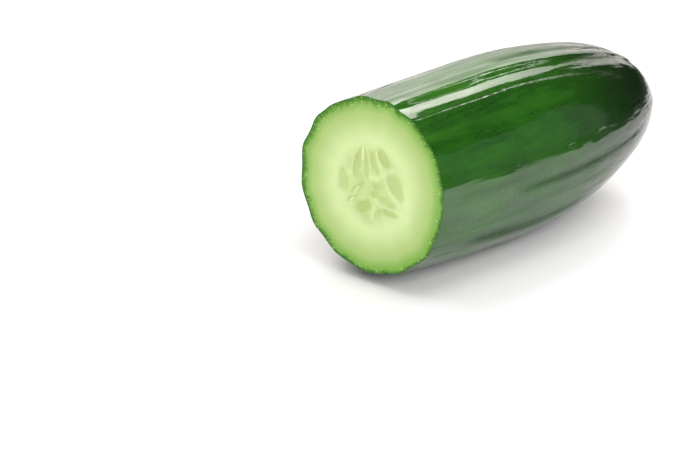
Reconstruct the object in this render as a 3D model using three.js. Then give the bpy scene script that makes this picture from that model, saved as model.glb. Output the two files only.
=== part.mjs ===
// A large piece of a long green cucumber, cut across at one end and whole at the other.
// Millimetres, +Z up. +X runs from the cut face to the far end, and the origin is the centre of
// the bounding box on the surface that the piece lies on.

import * as THREE from 'three';

// Driving dimensions of the body
const cutRadius = 24.5;
const widestRadius = 26.7;
const widestAt = 66;
const axisLength = 111.4;
const endLength = 73;
const endPower = 2.15;

// The axis dips toward the middle and rises to the far end
const axisTiltAtCut = THREE.MathUtils.degToRad(-3.5);
const axisBendPerMm = THREE.MathUtils.degToRad(5.3) / 100;

// The knife went through a little askew: direction from the cut face into the body
const cutYaw = THREE.MathUtils.degToRad(6.7);
const cutPitch = THREE.MathUtils.degToRad(-4.7);
const cutFadeLength = 20;
const cutSearchSteps = 6;

// Uneven ribs round the body: the angle of each crest and its half width in degrees, and its
// heights over the grooves at the cut, along the middle and at the far end. The upper ones swing
// down a little past the middle, and all fade where the end closes
const ribs = [
  { crest: 8, width: 9, heights: [0.15, 0, 0.3] },
  { crest: 34, width: 10, heights: [0.4, 0.2, -0.1] },
  { crest: 61, width: 7, heights: [0.55, 0.05, 0.1] },
  { crest: 80, width: 6, heights: [0.8, 0.9, 0.45] },
  { crest: 101, width: 8, heights: [0.5, 0.5, 1.1] },
  { crest: 129, width: 6, heights: [0.3, 0.3, 0.4] },
  { crest: 144, width: 8, heights: [0.7, 0.4, 0.6] },
  { crest: 168, width: 8, heights: [0.8, 0.4, 0.7] },
  { crest: 196, width: 9, heights: [0.6, 0.4, 0.6] },
  { crest: 220, width: 8, heights: [0.7, 0.4, 0.5] },
  { crest: 245, width: 9, heights: [0.5, 0.3, 0.6] },
  { crest: 272, width: 14, heights: [0.6, 0.4, 0.5] },
  { crest: 299, width: 8, heights: [0.6, 0.4, 0.7] },
  { crest: 323, width: 10, heights: [0.8, 0.3, -0.7] },
];
const grooveDepths = [0.4, 0.28, 0.4];
const ribMiddleFrom = 6;
const ribSwing = 0.07;
const ribSwingAt = 72;
const ribSwingLength = 20;
const ribFadeRadius = 12;

// Stem scar at the far end
const scarRadius = 3.2;
const scarFloorRadius = 1.3;
const scarHollow = 1.1;
const scarRim = 0.5;
const scarRimWidth = 0.9;

// Seeds in the cut face: place from its centre to the right and up, half length, half width and
// the angle of the long axis from the right, as seen from outside
const seeds = [
  { right: -9.0, up: -0.5, halfLength: 3.6, halfWidth: 2.1, angle: 98 },
  { right: -4.4, up: 5.6, halfLength: 4.8, halfWidth: 1.3, angle: 78 },
  { right: -1.5, up: 6.0, halfLength: 4.4, halfWidth: 0.9, angle: 101 },
  { right: 1.6, up: 6.8, halfLength: 3.5, halfWidth: 1.5, angle: -72 },
  { right: 4.2, up: 8.6, halfLength: 3.1, halfWidth: 1.7, angle: -44 },
  { right: 9.1, up: 1.7, halfLength: 4.3, halfWidth: 2.3, angle: -51 },
  { right: 3.2, up: 0.6, halfLength: 1.9, halfWidth: 1.0, angle: 6 },
  { right: 2.0, up: -2.0, halfLength: 1.6, halfWidth: 0.9, angle: 12 },
  { right: 6.0, up: -3.3, halfLength: 3.2, halfWidth: 1.2, angle: -14 },
  { right: 7.4, up: -5.9, halfLength: 2.8, halfWidth: 1.1, angle: -5 },
  { right: -1.4, up: -6.2, halfLength: 3.3, halfWidth: 1.6, angle: 31 },
  { right: -4.0, up: -1.6, halfLength: 3.0, halfWidth: 1.0, angle: 41 },
  { right: -5.4, up: -4.8, halfLength: 2.1, halfWidth: 0.7, angle: 32 },
  { right: 3.5, up: -7.2, halfLength: 2.1, halfWidth: 1.0, angle: 39 },
];
const seedHeight = 0.4;
const seedTop = 0.2;
const seedFoot = 1.4;

// The piece rests on a small flat that its own weight presses into it
const restDepth = 0.6;

// Mesh: points round the body, rings along it as far as the stem scar, rings of the scar, and rings
// across the cut face from rim to centre
const pointsAround = 120;
const bodyRings = 10;
const endRings = 16;
const scarEdge = 5;
const scarRings = [
  { radius: 4.3, count: 60 },
  { radius: 3.7, count: 60 },
  { radius: 3.2, count: 60 },
  { radius: 2.7, count: 60 },
  { radius: 2.1, count: 30 },
  { radius: 1.3, count: 30 },
  { radius: 0.6, count: 15 },
];
const faceRings = [
  { reach: 0.76, count: 120 },
  { reach: 0.53, count: 120 },
  { reach: 0.49, count: 120 },
  { reach: 0.45, count: 120 },
  { reach: 0.41, count: 120 },
  { reach: 0.37, count: 120 },
  { reach: 0.33, count: 120 },
  { reach: 0.29, count: 120 },
  { reach: 0.25, count: 60 },
  { reach: 0.21, count: 60 },
  { reach: 0.17, count: 60 },
  { reach: 0.13, count: 30 },
  { reach: 0.09, count: 30 },
  { reach: 0.05, count: 15 },
];

const smooth = THREE.MathUtils.smoothstep;

function axisTilt(along) {
  return axisTiltAtCut + axisBendPerMm * along;
}

// Point of the axis, an arc in the upright plane through X
function axisPoint(along) {
  const start = axisTiltAtCut;
  const end = axisTilt(along);
  const x = (Math.sin(end) - Math.sin(start)) / axisBendPerMm;
  const z = (Math.cos(start) - Math.cos(end)) / axisBendPerMm;
  return new THREE.Vector3(x, 0, z);
}

// How far the round end has closed, from 0 to 1
function closingAt(along) {
  return THREE.MathUtils.clamp((along - axisLength + endLength) / endLength, 0, 1);
}

// Radius without ribs: it swells from the cut, then closes in a blunt round end
function bodyRadius(along) {
  const swell = Math.min(along / widestAt, 1);
  const swollen = cutRadius + (widestRadius - cutRadius) * (1 - (1 - swell) ** 2);
  return swollen * Math.sqrt(Math.max(1 - closingAt(along) ** endPower, 0));
}

// Blends three values: at the cut, along the middle and at the far end
function alongBody(along, [atCut, middle, atEnd]) {
  const fromCut = THREE.MathUtils.lerp(atCut, middle, smooth(along, 0, ribMiddleFrom));
  return fromCut + (atEnd - middle) * closingAt(along);
}

function ribHeight(angle, along, radius) {
  const passage = Math.exp(-(((along - ribSwingAt) / ribSwingLength) ** 2));
  const swing = ribSwing * passage * Math.max(Math.sin(angle), 0) ** 3;
  let height = -alongBody(along, grooveDepths);
  for (const rib of ribs) {
    const turn = angle + swing - THREE.MathUtils.degToRad(rib.crest);
    const width = THREE.MathUtils.degToRad(rib.width);
    height += alongBody(along, rib.heights) * Math.exp(2 * (Math.cos(turn) - 1) / width ** 2);
  }
  return height * smooth(radius, 0, ribFadeRadius);
}

// Point of the skin. The angle turns from the right through up, as seen facing the cut
function skinPoint(angle, along) {
  const radius = bodyRadius(along);
  const reach = radius + ribHeight(angle, along, radius);
  const tilt = axisTilt(along);
  const across = new THREE.Vector3(0, -1, 0);
  const upward = new THREE.Vector3(-Math.sin(tilt), 0, Math.cos(tilt));
  const point = axisPoint(along);
  point.addScaledVector(across, reach * Math.cos(angle));
  point.addScaledVector(upward, reach * Math.sin(angle));
  return point;
}

const intoBody = new THREE.Vector3(
  Math.cos(cutPitch) * Math.cos(cutYaw),
  Math.cos(cutPitch) * Math.sin(cutYaw),
  Math.sin(cutPitch),
);
const faceRight = new THREE.Vector3().crossVectors(intoBody, new THREE.Vector3(0, 0, 1)).normalize();
const faceUp = new THREE.Vector3().crossVectors(faceRight, intoBody);

// Where the line of the skin at this angle meets the plane of the cut
function cutAlong(angle) {
  let along = 0;
  for (let step = 0; step < cutSearchSteps; step += 1) {
    along -= skinPoint(angle, along).dot(intoBody);
  }
  return along;
}

// Place along the axis where the closing end has this radius
function stationOf(radius) {
  const closing = (1 - (radius / widestRadius) ** 2) ** (1 / endPower);
  return axisLength - endLength * (1 - closing);
}

// The round end is stepped by equal angles, so that its rings crowd toward the scar
function ringStations() {
  const stations = [];
  for (let ring = 0; ring < bodyRings; ring += 1) {
    stations.push((axisLength - endLength) * ring / bodyRings);
  }
  const lastTurn = Math.acos(scarEdge / widestRadius);
  for (let ring = 0; ring <= endRings; ring += 1) {
    stations.push(stationOf(widestRadius * Math.cos(lastTurn * ring / endRings)));
  }
  return stations;
}

// Low mound of each seed in the plane of the cut. Distance is squared, and 1 at the seed's outline
function seedRelief(right, up) {
  let relief = 0;
  for (const seed of seeds) {
    const turn = THREE.MathUtils.degToRad(seed.angle);
    const east = right - seed.right;
    const north = up - seed.up;
    const lengthwise = (east * Math.cos(turn) + north * Math.sin(turn)) / seed.halfLength;
    const sideways = (north * Math.cos(turn) - east * Math.sin(turn)) / seed.halfWidth;
    const distance = lengthwise ** 2 + sideways ** 2;
    relief = Math.max(relief, seedHeight * (1 - smooth(distance, seedTop, seedFoot)));
  }
  return relief;
}

function facePoint(rim, reach) {
  const point = rim.clone().multiplyScalar(reach);
  const relief = seedRelief(point.dot(faceRight), point.dot(faceUp));
  return point.addScaledVector(intoBody, -relief);
}

// Shallow corky dish with a low rim that the stem left, sunk along the axis at the tip
const tip = axisPoint(axisLength);
const tipTilt = axisTilt(axisLength);
const tipOutward = new THREE.Vector3(Math.cos(tipTilt), 0, Math.sin(tipTilt));

function withScar(point) {
  const radius = point.clone().sub(tip).cross(tipOutward).length();
  const rim = scarRim * Math.exp(-(((radius - scarRadius) / scarRimWidth) ** 2));
  const hollow = scarHollow * (1 - smooth(radius, scarFloorRadius, scarRadius));
  return point.clone().addScaledVector(tipOutward, rim - hollow);
}

// A ring is named by its first point and its number of points. These are the triangles that fill a
// row of rings, each with as many points as the one before or half as many, and close on a middle
// point. The first ring is the outermost, and the rings run counterclockwise as seen from outside
function fillRings(rings, middle) {
  const triangles = [];
  for (let ring = 1; ring < rings.length; ring += 1) {
    const outer = rings[ring - 1];
    const inner = rings[ring];
    const step = outer.count / inner.count;
    for (let place = 0; place < inner.count; place += 1) {
      const innerHere = inner.first + place;
      const innerNext = inner.first + (place + 1) % inner.count;
      const outerHere = outer.first + place * step;
      const outerNext = outer.first + (place * step + 1) % outer.count;
      triangles.push([outerHere, outerNext, innerHere], [outerNext, innerNext, innerHere]);
      if (step === 2) {
        const outerSecond = outer.first + (place * step + 2) % outer.count;
        triangles.push([outerNext, outerSecond, innerNext]);
      }
    }
  }
  const last = rings[rings.length - 1];
  for (let place = 0; place < last.count; place += 1) {
    triangles.push([last.first + place, last.first + (place + 1) % last.count, middle]);
  }
  return triangles;
}

// Rings of the skin run clockwise as seen from the far end, so its triangles are turned over
function addSkin(points, indices) {
  const rings = ringStations().map((station) => ({ station, count: pointsAround }));
  for (const { radius, count } of scarRings) {
    rings.push({ station: stationOf(radius), count });
  }
  for (const ring of rings) {
    const askew = Math.max(1 - ring.station / cutFadeLength, 0);
    ring.first = points.length;
    for (let place = 0; place < ring.count; place += 1) {
      const angle = 2 * Math.PI * place / ring.count;
      points.push(withScar(skinPoint(angle, ring.station + askew * cutAlong(angle))));
    }
  }
  const middle = points.push(withScar(tip)) - 1;
  for (const triangle of fillRings(rings, middle)) {
    indices.push(...triangle.reverse());
  }
}

// The cut face shares its rim with the first ring of the skin
function addCutFace(points, indices) {
  const rings = [{ first: 0, count: pointsAround }];
  for (const { reach, count } of faceRings) {
    rings.push({ first: points.length, count });
    for (let place = 0; place < count; place += 1) {
      points.push(facePoint(points[place * pointsAround / count], reach));
    }
  }
  const middle = points.push(facePoint(new THREE.Vector3(), 0)) - 1;
  indices.push(...fillRings(rings, middle).flat());
}

// Presses the lowest skin flat and moves the origin to the centre of the box on that flat
function settle(points) {
  const box = new THREE.Box3().setFromPoints(points);
  const floor = box.min.z + restDepth;
  for (const point of points) {
    point.z = Math.max(point.z, floor);
  }
  const middle = new THREE.Box3().setFromPoints(points).getCenter(new THREE.Vector3());
  for (const point of points) {
    point.sub(new THREE.Vector3(middle.x, middle.y, floor));
  }
}

const points = [];
const indices = [];
addSkin(points, indices);
addCutFace(points, indices);
settle(points);

const geometry = new THREE.BufferGeometry().setFromPoints(points);
geometry.setIndex(indices);
geometry.computeVertexNormals();

const skin = new THREE.MeshStandardMaterial({ color: 0x2f6b22, roughness: 0.3, metalness: 0 });
const cucumber = new THREE.Mesh(geometry, skin);
cucumber.name = 'cucumber';

const part = new THREE.Group();
part.add(cucumber);

export default part;
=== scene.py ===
"""A large piece of cucumber, cut across at one end, lying on a white table in soft studio light.

Everything is in metres in the part's own frame: +X runs from the cut face to the far end, +Z is
up, and the piece lies on z = 0. Angles round the body turn from the right through up, as seen
facing the cut.
"""

import math
from collections import namedtuple

import bpy
import numpy as np
from mathutils import Matrix, Vector


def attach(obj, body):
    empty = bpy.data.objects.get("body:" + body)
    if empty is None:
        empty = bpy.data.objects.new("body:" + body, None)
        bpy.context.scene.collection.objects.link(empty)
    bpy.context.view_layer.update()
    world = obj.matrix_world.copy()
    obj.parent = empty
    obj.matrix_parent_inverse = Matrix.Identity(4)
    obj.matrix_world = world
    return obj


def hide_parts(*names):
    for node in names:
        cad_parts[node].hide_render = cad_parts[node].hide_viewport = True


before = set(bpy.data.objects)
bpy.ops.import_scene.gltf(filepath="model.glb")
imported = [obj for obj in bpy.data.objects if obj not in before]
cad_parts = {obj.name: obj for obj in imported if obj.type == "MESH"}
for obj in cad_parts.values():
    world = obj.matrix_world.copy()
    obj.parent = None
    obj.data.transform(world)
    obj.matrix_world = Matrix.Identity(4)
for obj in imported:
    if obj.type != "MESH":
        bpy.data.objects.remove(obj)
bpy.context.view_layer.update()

MM = 0.001

# Body, as the solid has it
CUT_RADIUS = 24.5 * MM
WIDEST_RADIUS = 26.7 * MM
WIDEST_AT = 66 * MM
AXIS_LENGTH = 111.4 * MM
END_LENGTH = 73 * MM
END_POWER = 2.15
AXIS_TILT_AT_CUT = math.radians(-3.5)
AXIS_BEND = math.radians(5.3) / (100 * MM)
CUT_YAW = math.radians(6.7)
CUT_PITCH = math.radians(-4.7)
CUT_FADE_LENGTH = 20 * MM
CUT_SEARCH_STEPS = 6
REST_DEPTH = 0.6 * MM

# Ribs: crest angle and half width in degrees, height in millimetres at the cut, along the middle
# and at the far end
RIBS = [
    (8, 9, 0.15, 0.0, 0.3), (34, 10, 0.4, 0.2, -0.1), (61, 7, 0.55, 0.05, 0.1), (80, 6, 0.8, 0.9, 0.45),
    (101, 8, 0.5, 0.5, 1.1), (129, 6, 0.3, 0.3, 0.4), (144, 8, 0.7, 0.4, 0.6), (168, 8, 0.8, 0.4, 0.7),
    (196, 9, 0.6, 0.4, 0.6), (220, 8, 0.7, 0.4, 0.5), (245, 9, 0.5, 0.3, 0.6), (272, 14, 0.6, 0.4, 0.5),
    (299, 8, 0.6, 0.4, 0.7), (323, 10, 0.8, 0.3, -0.7),
]
GROOVE_DEPTHS = (0.4 * MM, 0.28 * MM, 0.4 * MM)
RIB_MIDDLE_FROM = 6 * MM
RIB_SWING = 0.07
RIB_SWING_AT = 72 * MM
RIB_SWING_LENGTH = 20 * MM
RIB_FADE_RADIUS = 12 * MM

# Stem scar at the far end. Its colour fades between two multiples of its radius
SCAR_RADIUS = 3.2 * MM
SCAR_FLOOR_RADIUS = 1.3 * MM
SCAR_HOLLOW = 1.1 * MM
SCAR_RIM = 0.5 * MM
SCAR_RIM_WIDTH = 0.9 * MM
SCAR_COLOUR_FADE = (0.9, 1.6)

# Seeds in the cut face: middle from the face's centre, half length and half width in millimetres,
# angle of the long axis in degrees, and how dark the seed shows
Seed = namedtuple("Seed", "right up half_length half_width angle darkness")
SEEDS = [Seed(*row) for row in (
    (-9.0, -0.5, 3.6, 2.1, 98, 0.5), (-4.4, 5.6, 4.8, 1.3, 78, 0.85), (-1.5, 6.0, 4.4, 0.9, 101, 0.6),
    (1.6, 6.8, 3.5, 1.5, -72, 0.45), (4.2, 8.6, 3.1, 1.7, -44, 1.0), (9.1, 1.7, 4.3, 2.3, -51, 0.7),
    (3.2, 0.6, 1.9, 1.0, 6, 0.4), (2.0, -2.0, 1.6, 0.9, 12, 0.7), (6.0, -3.3, 3.2, 1.2, -14, 0.7),
    (7.4, -5.9, 2.8, 1.1, -5, 1.0), (-1.4, -6.2, 3.3, 1.6, 31, 1.0), (-4.0, -1.6, 3.0, 1.0, 41, 0.9),
    (-5.4, -4.8, 2.1, 0.7, 32, 0.5), (3.5, -7.2, 2.1, 1.0, 39, 0.6),
)]
SEED_HEIGHT = 0.3 * MM
SEED_TAPER = 0.25

# Squared distances from a seed's middle, 1 at its outline, between which its mound and its colour fade
SEED_MOUND_FADE = (0.2, 1.4)
SEED_COLOUR_FADE = (0.4, 1.3)

# Pale membranes between the seeds, and pale spots, which end where they start: both ends and half
# width in millimetres, and how clearly it shows
Membrane = namedtuple("Membrane", "right up end_right end_up half_width strength")
MEMBRANES = [Membrane(*row) for row in (
    (-3.1, 9.9, -2.9, 6.8, 0.35, 1.0), (1.5, 10.0, 1.7, 8.8, 0.35, 0.9), (1.7, 8.8, 2.7, 6.2, 0.5, 0.5),
    (2.7, 6.2, 4.8, 4.6, 0.6, 0.6), (0.2, 2.3, 2.3, 2.5, 0.8, 1.0), (2.3, 2.5, 4.6, 4.4, 0.8, 0.8),
    (4.6, 4.4, 7.1, 5.8, 0.7, 0.6), (4.9, 2.4, 6.5, -0.3, 0.6, 0.6), (6.5, -0.3, 10.1, -3.1, 0.6, 0.8),
    (1.5, -3.6, 3.5, -4.7, 0.5, 0.7), (3.5, -4.7, 8.4, -4.7, 0.4, 0.7), (8.4, -4.7, 12.3, -5.9, 0.5, 0.7),
    (-3.8, -1.2, -5.2, -3.1, 0.4, 0.8), (-5.2, -3.1, -6.5, -6.7, 0.5, 0.6), (0.2, 2.3, -2.0, 1.3, 0.6, 0.4),
    (0.5, -3.7, 1.8, -5.7, 0.5, 0.5), (1.8, -5.7, 1.0, -8.7, 0.5, 0.6), (-6.6, 4.6, -5.9, 0.6, 0.6, 0.4),
    (-9.1, -5.2, -9.1, -5.2, 1.6, 0.9), (12.5, -2.6, 12.5, -2.6, 1.6, 0.8),
    (12.5, -6.0, 12.5, -6.0, 1.6, 0.6), (5.8, -9.4, 5.8, -9.4, 1.8, 0.7),
    (-7.0, 2.3, -7.0, 2.3, 1.0, 0.6), (0.2, 11.6, 0.2, 11.6, 1.6, 0.5),
)]

# Mesh of the visible piece: points round the body, rings up to where the end starts to close, rings
# of the closing end and of the cut face. A power under 1 crowds the face's rings toward its rim. The
# grids of skin and face are rings by points
POINTS_AROUND = 480
BODY_RINGS = 150
END_RINGS = 110
FACE_RINGS = 110
FACE_CROWDING = 0.8
SKIN_GRID = (BODY_RINGS + END_RINGS, POINTS_AROUND)
FACE_GRID = (FACE_RINGS, POINTS_AROUND)

# Green zone inside the rim: the angle where it is widest, how much wider it is there, and the ragged
# edge from a seeded draw of waves, each with 8 to 59 turns round the rim
RIM_WIDE_AT = math.radians(145)
RIM_WIDENING = 0.35
RIM_WAVES = 30
RIM_TURNS = (8, 60)
RIM_RAGGED = 0.12
RIM_NARROWEST = 0.3
RIM_RANDOM_SEED = 3

# Ripples that run along the skin: number round the body, height in millimetres, and millimetres along
# the body for each radian of its fading. Where it fades shifts round the body, and all sway together
RIPPLES = [(37, 0.012, 9), (53, 0.008, 13), (71, 0.005, 7)]
RIPPLE_FADE = 0.4
RIPPLE_SHIFT = 3
RIPPLE_SWAY = 1.3
RIPPLE_SWAY_LENGTH = 31 * MM

# Creases that run along the skin: from and to along the axis in millimetres, angle at each end and
# half width in degrees, and depth in millimetres
CREASES = [
    (5, 32, 72, 70, 3.0, 0.12), (30, 64, 72, 69, 3.0, 0.08), (40, 84, 84, 82, 2.0, 0.12),
    (8, 60, 89, 87, 2.0, 0.10), (25, 95, 96, 92, 2.5, 0.12), (5, 50, 103, 100, 2.5, 0.12),
    (50, 105, 101, 97, 2.0, 0.10), (36, 88, -3, -3, 3.0, 0.14), (18, 62, -31, -33, 3.0, 0.14),
    (4, 40, -14, -17, 2.5, 0.08), (30, 75, -20, -24, 2.5, 0.08),
]
CREASE_FADE = 8 * MM

# A seeded draw of long shallow dents and swellings. Each group has a count, angles from and to in
# degrees, places along the axis from and to, half lengths, half widths in degrees, and the depth
# that they reach, with lengths in millimetres
DENT_GROUPS = [
    (240, (0, 360), (0, 111), (2.5, 10), (1.2, 3.2), 0.09),
    (70, (8, 24), (45, 106), (1.2, 3), (1, 2), 0.06),
    (80, (56, 112), (70, 108), (1.2, 3), (1, 2.5), 0.06),
]
DENT_RANDOM_SEED = 7

# One strip of skin has shallower dents: its middle, its half width in degrees, and the share lost
CALM_AT = math.radians(68)
CALM_WIDTH = 12
CALMED = 0.75

# The visible skin lies a little deeper than the solid's, so that its swellings stay inside
SKIN_SINK = 0.09 * MM

# Paler and darker stretches of the skin, some of them painted light and shade as marked below, and
# stretches where
# its wax is dull: middle angle and half width in degrees, from and to along the axis in millimetres, and
# how much paler or duller
PALE_AND_PAINTED_LIGHT_STRETCHES = [
    # Painted light: the first stretch, paler across the whole top, stands for the stronger light that falls
    # on the top.
    (82, 22, -20, 95, 0.50), (74, 4, 3, 32, 0.45), (86, 5, 12, 50, 0.40), (45, 5, -20, 66, 0.16),
    # Painted shade: the darker stretch at -33 degrees, low on the flank, stands for shade that the skin
    # mirrors there from the table beside it.
    (56, 4, 0, 60, -0.25), (40.5, 1.2, 26, 66, -0.3), (-33, 5, 12, 66, -0.5), (-2, 3, 36, 88, -0.5),
    (46, 2.5, -20, 14, 0.7), (30, 6, -20, 10, 0.3), (-5, 4, -20, 26, 0.3), (-22, 5, -20, 60, 0.15),
]
DULL_STRETCHES = [
    (-3, 2.5, 28, 95, 0.6), (-33, 5, 12, 68, 0.45), (-14, 2, 40, 80, 0.2), (86, 3, 40, 92, 0.45),
    (85, 6, 12, 70, 0.25), (5, 2, 5, 40, 0.2), (100, 3, 20, 70, 0.2), (79, 3, -20, 44, 0.35),
    (69, 2, 60, 98, 0.6), (58.5, 1.5, 64, 98, 0.5),
]
STRETCH_FADE = 10 * MM

# Height over the smooth body that counts as all crest, and as far below it as all groove
CREST_HEIGHT = 0.4 * MM

# White table, and the dark floor beyond its far edge that only reflections see
TABLE_SIZE = 12.0
TABLE_EDGE = 0.24

# Softboxes: name, azimuth from +X toward +Y and elevation in degrees, distance, width, height and
# radiance, where a lit white surface has 1
SOFTBOXES = [
    ("left_softbox", 110, 60, 1.3, 0.9, 0.9, 2.0),
    ("right_softbox", -55, 70, 1.3, 0.8, 0.8, 4.0),
    ("front_softbox", 180, 62, 1.3, 0.9, 0.9, 1.0),
]

# Upright panels round the piece: name, azimuths of their right and left edges in degrees, distance,
# height of their lower and upper edge, radiance at those edges, and colour. The larger the power, the
# nearer the upper edge the radiance rises
WARM = (1.0, 0.97, 0.91)
PLAIN = (1.0, 1.0, 1.0)
PANELS = [
    ("back_panel", 20, 62.5, 0.9, 0.0, 1.3, 1.6, 11.5, WARM),
    ("back_corner", 12.5, 20, 0.9, 0.2, 1.3, 1.7, 11.5, WARM),
    ("strip_light", 1.4, 2.8, 1.0, 0.3, 1.25, 0.5, 16, WARM),
    ("grey_panel", -56, -25, 1.2, 0.0, 0.72, 0.2, 0.2, PLAIN),
    ("side_panel", -148, -60, 1.0, 0.35, 1.3, 4.2, 4.2, PLAIN),
]
PANEL_POWER = 2.6
ROOM_LIGHT = 0.01

# Camera, from the point where the axis meets the cut
CAMERA_FROM_CUT = Vector((-0.3766, -0.3875, 0.2290))
CAMERA_FORWARD = Vector((0.6284, 0.6598, -0.4119))
CAMERA_RIGHT = Vector((0.7241, -0.6897, 0.0))
PICTURE_WIDTH = 700
FOCAL_LENGTH_IN_PIXELS = 2200
SENSOR = 36.0
LENS = SENSOR * FOCAL_LENGTH_IN_PIXELS / PICTURE_WIDTH


# Shape of the body


def smoothstep(low, high, value):
    """Hermite step from 0 at low to 1 at high."""
    share = np.clip((value - low) / (high - low), 0, 1)
    return share * share * (3 - 2 * share)


def bell(turn, width):
    """Bump round the body: 1 where the turn is 0, and about 1/e at the half width in degrees."""
    return np.exp(2 * (np.cos(turn) - 1) / np.radians(width) ** 2)


def axis_tilt(along):
    return AXIS_TILT_AT_CUT + AXIS_BEND * along


def axis_point(along):
    """Points of the axis, an arc in the upright plane through X."""
    tilt = axis_tilt(along)
    x = (np.sin(tilt) - math.sin(AXIS_TILT_AT_CUT)) / AXIS_BEND
    z = (math.cos(AXIS_TILT_AT_CUT) - np.cos(tilt)) / AXIS_BEND
    return np.stack([x, np.zeros_like(x), z], -1)


def closing_at(along):
    """How far the round end has closed, from 0 to 1."""
    return np.clip((along - AXIS_LENGTH + END_LENGTH) / END_LENGTH, 0, 1)


def body_radius(along):
    """Radius without ribs: it swells from the cut, then closes in a blunt round end."""
    swell = np.minimum(along / WIDEST_AT, 1)
    swollen = CUT_RADIUS + (WIDEST_RADIUS - CUT_RADIUS) * (1 - (1 - swell) ** 2)
    return swollen * np.sqrt(np.maximum(1 - closing_at(along) ** END_POWER, 0))


def along_body(along, at_cut, middle, at_end):
    """Blends three values: at the cut, along the middle and at the far end."""
    from_cut = at_cut + (middle - at_cut) * smoothstep(0, RIB_MIDDLE_FROM, along)
    return from_cut + (at_end - middle) * closing_at(along)


def rib_height(angle, along, radius):
    """Height of the ribs over the smooth body, negative in the grooves."""
    passage = np.exp(-(((along - RIB_SWING_AT) / RIB_SWING_LENGTH) ** 2))
    swing = RIB_SWING * passage * np.maximum(np.sin(angle), 0) ** 3
    height = -along_body(along, *GROOVE_DEPTHS) * np.ones_like(radius)
    for crest, width, *heights in RIBS:
        turn = angle + swing - math.radians(crest)
        height += along_body(along, *heights) * MM * bell(turn, width)
    return height * smoothstep(0, RIB_FADE_RADIUS, radius)


def ripples(angle, along):
    relief = np.zeros_like(along)
    sway = RIPPLE_SWAY * np.sin(along / RIPPLE_SWAY_LENGTH)
    for count, height, length in RIPPLES:
        passage = along / (length * MM) + RIPPLE_SHIFT * np.cos(2 * angle + count)
        fade = 1 - RIPPLE_FADE + RIPPLE_FADE * np.sin(passage)
        relief += height * MM * fade * np.cos(count * angle + sway)
    return relief


def creases(angle, along):
    relief = np.zeros_like(along)
    for start, stop, first, last, width, depth in CREASES:
        share = np.clip((along / MM - start) / (stop - start), 0, 1)
        turn = angle - np.radians(first + (last - first) * share)
        inside = np.minimum(along - start * MM, stop * MM - along)
        relief -= depth * MM * smoothstep(0, CREASE_FADE, inside) * bell(turn, width)
    return relief


def dents(angle, along):
    relief = np.zeros_like(along)
    draw = np.random.default_rng(DENT_RANDOM_SEED)
    for count, angles, places, lengths, widths, depth in DENT_GROUPS:
        for _ in range(count):
            across = bell(angle - math.radians(draw.uniform(*angles)), draw.uniform(*widths))
            lengthwise = (along / MM - draw.uniform(*places)) / draw.uniform(*lengths)
            relief += draw.uniform(-depth, depth) * MM * across * np.exp(-(lengthwise ** 2))
    return relief * (1 - CALMED * bell(angle - CALM_AT, CALM_WIDTH))


def skin_relief(angle, along, radius):
    """Relief of the skin that is too fine for the solid."""
    relief = ripples(angle, along) + creases(angle, along) + dents(angle, along)
    return (relief - SKIN_SINK) * smoothstep(0, RIB_FADE_RADIUS, radius)


def skin_point(angle, along):
    radius = body_radius(along)
    reach = radius + rib_height(angle, along, radius) + skin_relief(angle, along, radius)
    tilt = axis_tilt(along)
    upward = np.stack([-np.sin(tilt), np.zeros_like(tilt), np.cos(tilt)], -1)
    across = np.array([0.0, -1.0, 0.0])
    sideways = (reach * np.cos(angle))[..., None] * across
    return axis_point(along) + sideways + (reach * np.sin(angle))[..., None] * upward


def with_scar(points):
    """Shallow corky dish with a low rim that the stem left, sunk along the axis at the tip."""
    tip = axis_point(np.array(AXIS_LENGTH))
    tilt = axis_tilt(AXIS_LENGTH)
    outward = np.array([math.cos(tilt), 0, math.sin(tilt)])
    radius = np.linalg.norm(np.cross(points - tip, outward), axis=-1)
    rim = SCAR_RIM * np.exp(-(((radius - SCAR_RADIUS) / SCAR_RIM_WIDTH) ** 2))
    hollow = SCAR_HOLLOW * (1 - smoothstep(SCAR_FLOOR_RADIUS, SCAR_RADIUS, radius))
    return points + (rim - hollow)[..., None] * outward


# Cut face


INTO_BODY = np.array([
    math.cos(CUT_PITCH) * math.cos(CUT_YAW),
    math.cos(CUT_PITCH) * math.sin(CUT_YAW),
    math.sin(CUT_PITCH),
])
FACE_RIGHT = np.cross(INTO_BODY, [0, 0, 1])
FACE_RIGHT /= np.linalg.norm(FACE_RIGHT)
FACE_UP = np.cross(FACE_RIGHT, INTO_BODY)


def cut_along(angle):
    """Where the line of the skin at each angle meets the plane of the cut."""
    along = np.zeros_like(angle)
    for _ in range(CUT_SEARCH_STEPS):
        along = along - skin_point(angle, along) @ INTO_BODY
    return along


def seed_distance(right, up, seed):
    """Squared distance from a seed's middle, 1 at its outline. Seeds are broader at one end."""
    east = right / MM - seed.right
    north = up / MM - seed.up
    turn = math.radians(seed.angle)
    lengthwise = (east * math.cos(turn) + north * math.sin(turn)) / seed.half_length
    sideways = (north * math.cos(turn) - east * math.sin(turn)) / seed.half_width
    return lengthwise ** 2 + (sideways * (1 + SEED_TAPER * lengthwise)) ** 2


def seed_relief(right, up):
    """Low mound of each seed in the plane of the cut."""
    relief = np.zeros_like(right)
    for seed in SEEDS:
        inside = 1 - smoothstep(*SEED_MOUND_FADE, seed_distance(right, up, seed))
        relief = np.maximum(relief, SEED_HEIGHT * inside)
    return relief


def seeds_shown(right, up):
    shown = np.zeros_like(right)
    for seed in SEEDS:
        inside = 1 - smoothstep(*SEED_COLOUR_FADE, seed_distance(right, up, seed))
        shown = np.maximum(shown, seed.darkness * inside)
    return shown


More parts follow.
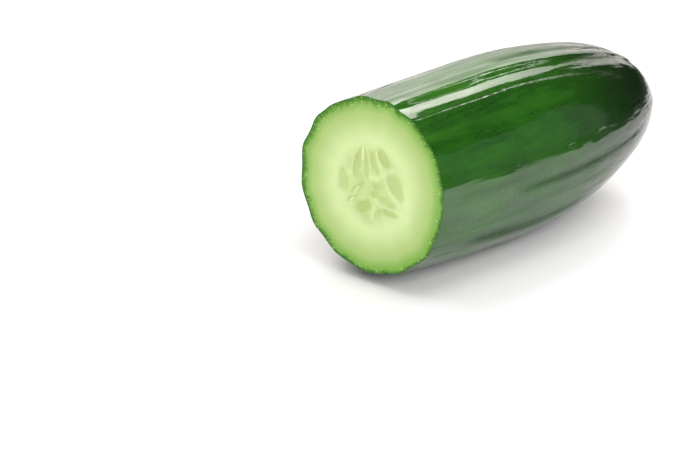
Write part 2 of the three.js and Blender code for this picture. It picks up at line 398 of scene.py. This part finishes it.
def membrane_shown(right, up, membrane):
    """How clearly a membrane shows: most on its middle line, and fading sideways."""
    east = right / MM - membrane.right
    north = up / MM - membrane.up
    run_east = membrane.end_right - membrane.right
    run_north = membrane.end_up - membrane.up
    run_squared = run_east ** 2 + run_north ** 2 or 1
    share = np.clip((east * run_east + north * run_north) / run_squared, 0, 1)
    distance = np.hypot(east - share * run_east, north - share * run_north)
    return membrane.strength * np.exp(-((distance / membrane.half_width) ** 2))


def membranes_shown(right, up):
    shown = np.zeros_like(right)
    for membrane in MEMBRANES:
        shown = np.maximum(shown, membrane_shown(right, up, membrane))
    return shown


def rim_zone(angle):
    """Width of the green zone inside the rim at each angle, where 1 is usual."""
    draw = np.random.default_rng(RIM_RANDOM_SEED)
    ragged = np.zeros_like(angle)
    for _ in range(RIM_WAVES):
        turns = draw.integers(*RIM_TURNS)
        ragged += np.cos(turns * angle + draw.uniform(0, 2 * math.pi)) / math.sqrt(RIM_WAVES / 2)
    widened = 1 + RIM_WIDENING * np.cos(angle - RIM_WIDE_AT)
    return np.maximum(widened * (1 + RIM_RAGGED * ragged), RIM_NARROWEST)


# The visible piece: one closed mesh


def skin_grid():
    """Angle and place along the axis of each point of the skin. The first ring is the rim."""
    end_start = AXIS_LENGTH - END_LENGTH
    straight = end_start * np.arange(BODY_RINGS) / BODY_RINGS
    turn = math.pi / 2 * np.arange(END_RINGS) / END_RINGS
    closing = end_start + END_LENGTH * np.sin(turn) ** (2 / END_POWER)
    stations = np.concatenate([straight, closing])[:, None]
    angle = 2 * math.pi * np.arange(POINTS_AROUND) / POINTS_AROUND
    askew = np.clip(1 - stations / CUT_FADE_LENGTH, 0, 1)
    return np.broadcast_to(angle, SKIN_GRID), stations + askew * cut_along(angle)


def face_grid(rim):
    """Right, up and distance from the rim of each point of the cut face."""
    reach = (1 - (np.arange(FACE_RINGS) + 1) / (FACE_RINGS + 1)) ** FACE_CROWDING
    right = reach[:, None] * (rim @ FACE_RIGHT)
    up = reach[:, None] * (rim @ FACE_UP)
    from_rim = (1 - reach[:, None]) * np.hypot(rim @ FACE_RIGHT, rim @ FACE_UP)
    return right, up, from_rim


def face_point(right, up):
    relief = seed_relief(right, up)
    return right[..., None] * FACE_RIGHT + up[..., None] * FACE_UP - relief[..., None] * INTO_BODY


def ring_faces(first, rings, flipped):
    """Quads between rings that follow each other from point first on."""
    here = np.arange(POINTS_AROUND)
    after = (here + 1) % POINTS_AROUND
    quads = []
    for ring in range(rings - 1):
        low = first + ring * POINTS_AROUND
        high = low + POINTS_AROUND
        quad = np.stack([low + here, high + here, high + after, low + after], -1)
        quads.append(quad[:, ::-1] if flipped else quad)
    return np.concatenate(quads).tolist()


def mesh_faces():
    """Quads of the skin, of the seam at the rim and of the cut face, and a fan round each end.

    Points are counted through the rings of the skin from the cut on, then through the rings of the
    face from the rim inward, and the tip and the middle of the face come last.
    """
    face_first = math.prod(SKIN_GRID)
    tip = face_first + math.prod(FACE_GRID)
    middle = tip + 1
    last_skin_ring = face_first - POINTS_AROUND
    last_face_ring = tip - POINTS_AROUND
    here = np.arange(POINTS_AROUND)
    after = (here + 1) % POINTS_AROUND
    to_tip = np.full(POINTS_AROUND, tip)
    to_middle = np.full(POINTS_AROUND, middle)
    faces = ring_faces(0, SKIN_GRID[0], False)
    faces += np.stack([here, after, face_first + after, face_first + here], -1).tolist()
    faces += ring_faces(face_first, FACE_RINGS, True)
    faces += np.stack([last_skin_ring + after, last_skin_ring + here, to_tip], -1).tolist()
    faces += np.stack([last_face_ring + here, last_face_ring + after, to_middle], -1).tolist()
    return faces


def stretches_shown(stretches, angle, along):
    """Sum of what each stretch changes at each place."""
    change = np.zeros_like(along)
    for middle, width, start, stop, most in stretches:
        inside = np.minimum(along - start * MM, stop * MM - along)
        shown = most * smoothstep(0, STRETCH_FADE, inside)
        change += shown * bell(angle - math.radians(middle), width)
    return change


def point_values(skin, face, tip, middle):
    """One number for each point of the mesh, from arrays or single numbers for its four parts."""
    skin = np.broadcast_to(skin, SKIN_GRID)
    face = np.broadcast_to(face, FACE_GRID)
    return np.concatenate([skin.ravel(), face.ravel(), [tip], [middle]])


def cucumber_mesh():
    """Points, faces, and the numbers that the materials read."""
    angle, along = skin_grid()
    skin = with_scar(skin_point(angle, along))
    right, up, from_rim = face_grid(skin[0])
    face = face_point(right, up)
    tip = with_scar(axis_point(np.array([AXIS_LENGTH])))
    centre = np.zeros(1)
    points = np.concatenate([skin.reshape(-1, 3), face.reshape(-1, 3), tip, face_point(centre, centre)])

    radius = body_radius(along)
    ribs = rib_height(angle, along, radius)
    scar = 1 - smoothstep(*SCAR_COLOUR_FADE, radius / SCAR_RADIUS)
    on_rim = np.arange(SKIN_GRID[0])[:, None] == 0
    zone = rim_zone(angle[0])
    seed_in_centre = seeds_shown(centre, centre)[0]
    membrane_in_centre = membranes_shown(centre, centre)[0]
    values = {
        "paleness_and_painted_light": point_values(stretches_shown(PALE_AND_PAINTED_LIGHT_STRETCHES, angle, along), 0, 0, 0),
        "dullness": point_values(stretches_shown(DULL_STRETCHES, angle, along), 0, 0, 0),
        "rib": point_values((ribs / CREST_HEIGHT + 1) / 2, 0, 0, 0),
        "along": point_values(along / AXIS_LENGTH, 0, 1, 0),
        "scar": point_values(scar, 0, 1, 0),
        "on_face": point_values(on_rim, 1, 0, 1),
        "rim_distance": point_values(0, from_rim / MM, 0, CUT_RADIUS / MM),
        "rim_zone": point_values(zone, zone, 1, 1),
        "seed": point_values(0, seeds_shown(right, up), 0, seed_in_centre),
        "membrane": point_values(0, membranes_shown(right, up), 0, membrane_in_centre),
    }
    return points, mesh_faces(), values


def build_cucumber_object():
    """Presses the lowest skin flat, and moves the origin as the solid's is placed."""
    points, faces, values = cucumber_mesh()
    floor = points[:, 2].min() + REST_DEPTH
    points[:, 2] = np.maximum(points[:, 2], floor)
    middle = (points.min(0) + points.max(0)) / 2
    shift = np.array([middle[0], middle[1], floor])
    mesh = bpy.data.meshes.new("cucumber_body")
    mesh.from_pydata((points - shift).tolist(), [], faces)
    mesh.materials.append(skin_material())
    mesh.materials.append(flesh_material())
    for name, value in values.items():
        mesh.attributes.new(name, "FLOAT", "POINT").data.foreach_set("value", value.astype(np.float32))
    on_face = values["on_face"] > 0.5
    for polygon in mesh.polygons:
        polygon.use_smooth = True
        polygon.material_index = int(all(on_face[v] for v in polygon.vertices))
    for edge in mesh.edges:
        edge.use_edge_sharp = max(edge.vertices) < POINTS_AROUND
    mesh.update()
    body = bpy.data.objects.new("cucumber_body", mesh)
    bpy.context.scene.collection.objects.link(body)
    return body, Vector((-shift).tolist())


# Materials


class Graph:
    """Adds shader nodes to a material, with inputs given by name as sockets or values."""

    def __init__(self, name):
        self.material = bpy.data.materials.new(name)
        self.material.use_nodes = True
        self.tree = self.material.node_tree
        self.tree.nodes.clear()

    def add(self, kind, inputs=None, **settings):
        node = self.tree.nodes.new("ShaderNode" + kind)
        for name, value in settings.items():
            setattr(node, name, value)
        for key, value in (inputs or {}).items():
            if isinstance(value, bpy.types.NodeSocket):
                self.tree.links.new(value, node.inputs[key])
            else:
                node.inputs[key].default_value = value
        return node

    def value(self, name):
        """A number stored on the mesh."""
        return self.add("Attribute", attribute_name=name).outputs["Fac"]

    def math(self, operation, first, second=0.0):
        return self.add("Math", {0: first, 1: second}, operation=operation).outputs[0]

    def ramp(self, value, low, high):
        """0 at low to 1 at high, smoothly."""
        inputs = {"Value": value, "From Min": low, "From Max": high}
        return self.add("MapRange", inputs, interpolation_type="SMOOTHSTEP").outputs[0]

    def noise(self, stretch, scale, detail):
        """Noise in object space with this many grains to the metre, stretched along X."""
        place = self.add("TexCoord").outputs["Object"]
        place = self.add("Mapping", {"Vector": place, "Scale": (1 / stretch, 1, 1)}).outputs[0]
        inputs = {"Vector": place, "Scale": scale, "Detail": detail, "Roughness": 0.5}
        return self.add("TexNoise", inputs).outputs["Fac"]

    def mix(self, share, first, second):
        """Mixes two colours: a Mix node has its factor at 0 and its colours at 6 and 7."""
        return self.add("Mix", {0: share, 6: first, 7: second}, data_type="RGBA").outputs[2]

    def tint(self, colour, place, most, other):
        """Mixes another colour in: by the share most where place is 1, and by none where it is 0."""
        return self.mix(self.math("MULTIPLY", place, most), colour, other)

    def bump(self, height, distance, strength=1.0, normal=None):
        inputs = {"Height": height, "Distance": distance, "Strength": strength}
        if normal is not None:
            inputs["Normal"] = normal
        return self.add("Bump", inputs).outputs[0]

    def surface(self, inputs):
        shader = self.add("BsdfPrincipled", inputs)
        self.add("OutputMaterial", {"Surface": shader.outputs[0]})
        return self.material


def skin_material():
    """Waxy rind under a clear coat: mottled greens, with painted light on a paler top, painted shade in a
    darker band low on the flank, and darker toward the far end, partly the skin's own tone and partly
    painted shade.
    """
    g = Graph("skin")
    patches = g.noise(stretch=3, scale=100, detail=2)
    blotches = g.noise(stretch=2.5, scale=260, detail=3)
    streaks = g.noise(stretch=8, scale=700, detail=3)
    grain = g.noise(stretch=2, scale=1700, detail=3)
    groove = g.math("SUBTRACT", 1.0, g.ramp(g.value("rib"), 0.05, 0.6))
    paler_and_painted_light = g.math("MAXIMUM", g.value("paleness_and_painted_light"), 0.0)
    darker_and_painted_shade = g.math("MAXIMUM", g.math("MULTIPLY", g.value("paleness_and_painted_light"), -1.0), 0.0)
    end = g.ramp(g.value("along"), 0.3, 0.85)
    scar = g.ramp(g.value("scar"), 0.0, 1.0)

    deep = (0.004, 0.032, 0.004, 1)
    fresh = (0.009, 0.066, 0.005, 1)
    pale = (0.030, 0.125, 0.010, 1)
    dark = (0.005, 0.012, 0.004, 1)
    corky = (0.30, 0.27, 0.13, 1)
    colour = g.mix(g.ramp(patches, 0.3, 0.7), deep, fresh)
    colour = g.tint(colour, groove, 0.25, pale)
    # Painted light and shade come in with these stretches: the paler top and the darker band low on the
    # flank.
    colour = g.mix(paler_and_painted_light, colour, pale)
    colour = g.mix(darker_and_painted_shade, colour, dark)
    colour = g.tint(colour, g.ramp(blotches, 0.45, 0.7), 0.25, pale)
    colour = g.tint(colour, g.ramp(blotches, 0.5, 0.3), 0.15, dark)
    colour = g.tint(colour, g.ramp(streaks, 0.45, 0.75), 0.3, pale)
    colour = g.tint(colour, g.ramp(grain, 0.45, 0.7), 0.15, pale)
    # The far end is darker, partly the skin's own darker tone and partly painted shade where less light
    # reaches the end.
    colour = g.tint(colour, end, 0.95, dark)
    colour = g.mix(scar, colour, corky)

    streaked = g.math("MULTIPLY", g.ramp(streaks, 0.4, 0.7), 0.2)
    dull = g.math("MINIMUM", g.math("ADD", g.value("dullness"), streaked), 0.8)
    wax = g.math("SUBTRACT", 1.0, dull)

    pebbles = g.noise(stretch=1.6, scale=1100, detail=2)
    fine_creases = g.noise(stretch=6, scale=700, detail=3)
    pebbled_at_cut = 0.18
    more = g.math("MULTIPLY", g.math("POWER", end, 2.0), 1 - pebbled_at_cut)
    pebbled = g.math("ADD", pebbled_at_cut, more)
    normal = g.bump(fine_creases, distance=0.03 * MM)
    normal = g.bump(pebbles, distance=0.06 * MM, strength=pebbled, normal=normal)
    return g.surface({
        "Base Color": colour,
        "Roughness": 0.3,
        "IOR": 1.5,
        "Specular IOR Level": 0.0,
        "Coat Weight": wax,
        "Coat Roughness": 0.08,
        "Coat IOR": 1.7,
        "Coat Normal": normal,
        "Normal": normal,
        "Subsurface Weight": 0.05,
        "Subsurface Radius": (0.3, 1.0, 0.2),
        "Subsurface Scale": 1.0 * MM,
    })


def flesh_material():
    """Cut face: a ragged green rim, pale flesh, a watery core, seeds and membranes, and painted glints of
    wetness near the rim.

    The depth is the distance from the rim in millimetres.
    """
    g = Graph("flesh")
    depth = g.value("rim_distance")
    grain = g.noise(stretch=1, scale=260, detail=4)
    fine = g.noise(stretch=1, scale=1400, detail=3)
    wander = g.math("MULTIPLY", g.math("SUBTRACT", grain, 0.5), 1.6)
    fine_wander = g.math("MULTIPLY", g.math("SUBTRACT", fine, 0.5), 1.8)
    edge = g.math("ADD", g.math("DIVIDE", depth, g.value("rim_zone")), wander)
    edge = g.math("ADD", edge, fine_wander)
    core = g.ramp(depth, 11.5, 16.0)
    watery = g.math("MULTIPLY", g.ramp(grain, 0.4, 0.65), core)
    # Painted glints: pale specks near the rim stand for the sparkle of the wet cut.
    painted_glints = g.math("MULTIPLY", g.ramp(fine, 0.58, 0.7), g.ramp(edge, 4.5, 1.5))

    rind = (0.020, 0.135, 0.001, 1)
    green = (0.058, 0.228, 0.002, 1)
    tender = (0.232, 0.480, 0.066, 1)
    outer = (0.445, 0.630, 0.195, 1)
    bright = (0.740, 0.880, 0.430, 1)
    jelly = (0.620, 0.750, 0.320, 1)
    kernel = (0.480, 0.600, 0.190, 1)
    milky = (0.790, 0.920, 0.490, 1)
    colour = g.mix(g.ramp(depth, 0.05, 0.7), rind, green)
    colour = g.mix(g.ramp(edge, 0.3, 1.9), colour, tender)
    colour = g.mix(g.ramp(depth, 1.2, 4.5), colour, outer)
    colour = g.mix(g.ramp(depth, 3.0, 13.0), colour, bright)
    colour = g.tint(colour, core, 0.7, jelly)
    colour = g.tint(colour, watery, 0.35, kernel)
    # Painted glints of wetness near the rim.
    colour = g.tint(colour, painted_glints, 0.3, milky)
    colour = g.tint(colour, g.value("seed"), 0.7, kernel)
    colour = g.tint(colour, g.value("membrane"), 0.8, milky)

    normal = g.bump(grain, distance=0.12 * MM)
    normal = g.bump(fine, distance=0.05 * MM, normal=normal)
    return g.surface({
        "Base Color": colour,
        "Roughness": 0.32,
        "IOR": 1.38,
        "Normal": normal,
        "Subsurface Weight": 0.35,
        "Subsurface Radius": (1.0, 1.0, 0.5),
        "Subsurface Scale": 1.2 * MM,
    })


def table_material():
    return Graph("table").surface({"Base Color": (0.87, 0.855, 0.862, 1), "Roughness": 0.6})


def dark_floor_material():
    return Graph("dark_floor").surface({"Base Color": (0.01, 0.01, 0.01, 1), "Roughness": 0.8})


# Table, lights and camera


def build_sheet(name, low_x, high_x, height, material):
    """A level rectangle of stage, as wide as the table."""
    mesh = bpy.data.meshes.new(name)
    half = TABLE_SIZE / 2
    corners = [(low_x, -half), (high_x, -half), (high_x, half), (low_x, half)]
    mesh.from_pydata([(x, y, height) for x, y in corners], [], [(0, 1, 2, 3)])
    mesh.materials.append(material)
    sheet = bpy.data.objects.new(name, mesh)
    bpy.context.scene.collection.objects.link(sheet)
    return sheet


def build_table():
    build_sheet("table", -TABLE_SIZE / 2, TABLE_SIZE / 2, 0, table_material())
    dark = build_sheet("dark_floor", TABLE_EDGE, TABLE_SIZE / 2, MM, dark_floor_material())
    dark.visible_camera = False
    dark.visible_diffuse = False
    dark.visible_shadow = False
    dark.visible_transmission = False


def place_light(name, data, away, location):
    """Puts a light at a place, facing against the direction that leads away from the piece."""
    light = bpy.data.objects.new(name, data)
    light.location = location
    light.rotation_euler = away.to_track_quat("Z", "Y").to_euler()
    bpy.context.scene.collection.objects.link(light)


def area_light(name, width, height, radiance):
    data = bpy.data.lights.new(name, "AREA")
    data.shape = "RECTANGLE"
    data.size = width
    data.size_y = height
    data.energy = math.pi * width * height * radiance
    return data


def build_softbox(name, azimuth, elevation, distance, width, height, radiance):
    """A rectangular light that faces the middle of the piece."""
    turn = math.radians(azimuth)
    rise = math.radians(elevation)
    away = Vector((math.cos(rise) * math.cos(turn), math.cos(rise) * math.sin(turn), math.sin(rise)))
    target = Vector((0, 0, WIDEST_RADIUS))
    place_light(name, area_light(name, width, height, radiance), away, target + away * distance)


def build_panel(name, right_edge, left_edge, distance, bottom, top, low_radiance, high_radiance, colour):
    """An upright light that faces the piece, and grows brighter from its lower to its upper edge."""
    middle = math.radians((right_edge + left_edge) / 2)
    width = 2 * distance * math.tan(math.radians(left_edge - right_edge) / 2)
    data = area_light(name, width, top - bottom, 1)
    data.color = colour
    data.use_nodes = True
    tree = data.node_tree
    height = tree.nodes.new("ShaderNodeSeparateXYZ")
    tree.links.new(tree.nodes.new("ShaderNodeNewGeometry").outputs["Parametric"], height.inputs[0])
    power = tree.nodes.new("ShaderNodeMath")
    power.operation = "POWER"
    power.inputs[1].default_value = PANEL_POWER
    tree.links.new(height.outputs["Y"], power.inputs[0])
    scale = tree.nodes.new("ShaderNodeMath")
    scale.operation = "MULTIPLY_ADD"
    scale.inputs[1].default_value = high_radiance - low_radiance
    scale.inputs[2].default_value = low_radiance
    tree.links.new(power.outputs[0], scale.inputs[0])
    tree.links.new(scale.outputs[0], tree.nodes["Emission"].inputs["Strength"])
    away = Vector((math.cos(middle), math.sin(middle), 0))
    place_light(name, data, away, away * distance + Vector((0, 0, (bottom + top) / 2)))


def build_lights():
    for softbox in SOFTBOXES:
        build_softbox(*softbox)
    for panel in PANELS:
        build_panel(*panel)
    world = bpy.data.worlds.new("studio")
    world.use_nodes = True
    background = world.node_tree.nodes["Background"]
    background.inputs["Color"].default_value = (1, 1, 1, 1)
    background.inputs["Strength"].default_value = ROOM_LIGHT
    bpy.context.scene.world = world
    bpy.context.scene.view_settings.view_transform = "Standard"


def build_camera(cut_point):
    data = bpy.data.cameras.new("camera")
    data.sensor_width = SENSOR
    data.lens = LENS
    data.clip_start = 0.01
    data.clip_end = 100
    camera = bpy.data.objects.new("camera", data)
    bpy.context.scene.collection.objects.link(camera)
    forward = CAMERA_FORWARD.normalized()
    right = CAMERA_RIGHT.normalized()
    turn = Matrix((right, right.cross(forward), -forward)).transposed().to_4x4()
    camera.matrix_world = Matrix.Translation(cut_point + CAMERA_FROM_CUT) @ turn
    bpy.context.scene.camera = camera


body, cut_point = build_cucumber_object()
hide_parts("cucumber")
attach(body, "root")
build_table()
build_lights()
build_camera(cut_point)
